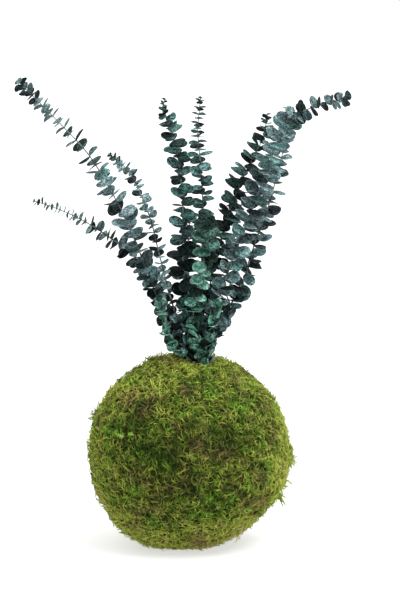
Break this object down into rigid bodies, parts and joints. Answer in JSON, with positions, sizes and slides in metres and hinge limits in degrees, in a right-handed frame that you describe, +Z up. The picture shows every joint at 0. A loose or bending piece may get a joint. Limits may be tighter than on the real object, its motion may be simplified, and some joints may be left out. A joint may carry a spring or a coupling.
{
  "type": "kokedama moss ball plant",
  "caption": "Moss-wrapped soil ball that rests on a small flat spot, planted with a fanned bunch of round-leaved baby blue eucalyptus sprigs.",
  "frame": {"origin": "middle of the flat spot that the ball rests on", "axes": "+Z up, -Y towards the side that the picture shows, +X to the right from there"},
  "size_m": [0.338, 0.201, 0.4695],
  "materials": {
    "moss": "matte sheet moss, yellow-green over olive",
    "soil": "matte moist potting soil",
    "blue_leaf": "matte leaf with a powdery blue-grey bloom",
    "teal_leaf": "matte dark teal leaf with little bloom",
    "green_leaf": "satin soft green leaf"
  },
  "bodies": {
    "root": {"moss_cover": "moss", "soil_ball": "soil", "sprig_front": "green_leaf", "sprig_front_left": "green_leaf", "sprig_front_right": "green_leaf", "sprig_far_left": "blue_leaf", "sprig_long_right": "blue_leaf", "sprig_slim_left": "blue_leaf", "sprig_outer_right": "blue_leaf", "sprig_low_left": "blue_leaf", "sprig_centre_left": "teal_leaf", "sprig_centre": "teal_leaf", "sprig_inner_right": "teal_leaf", "sprig_back": "teal_leaf"}
  },
  "joints": []
}
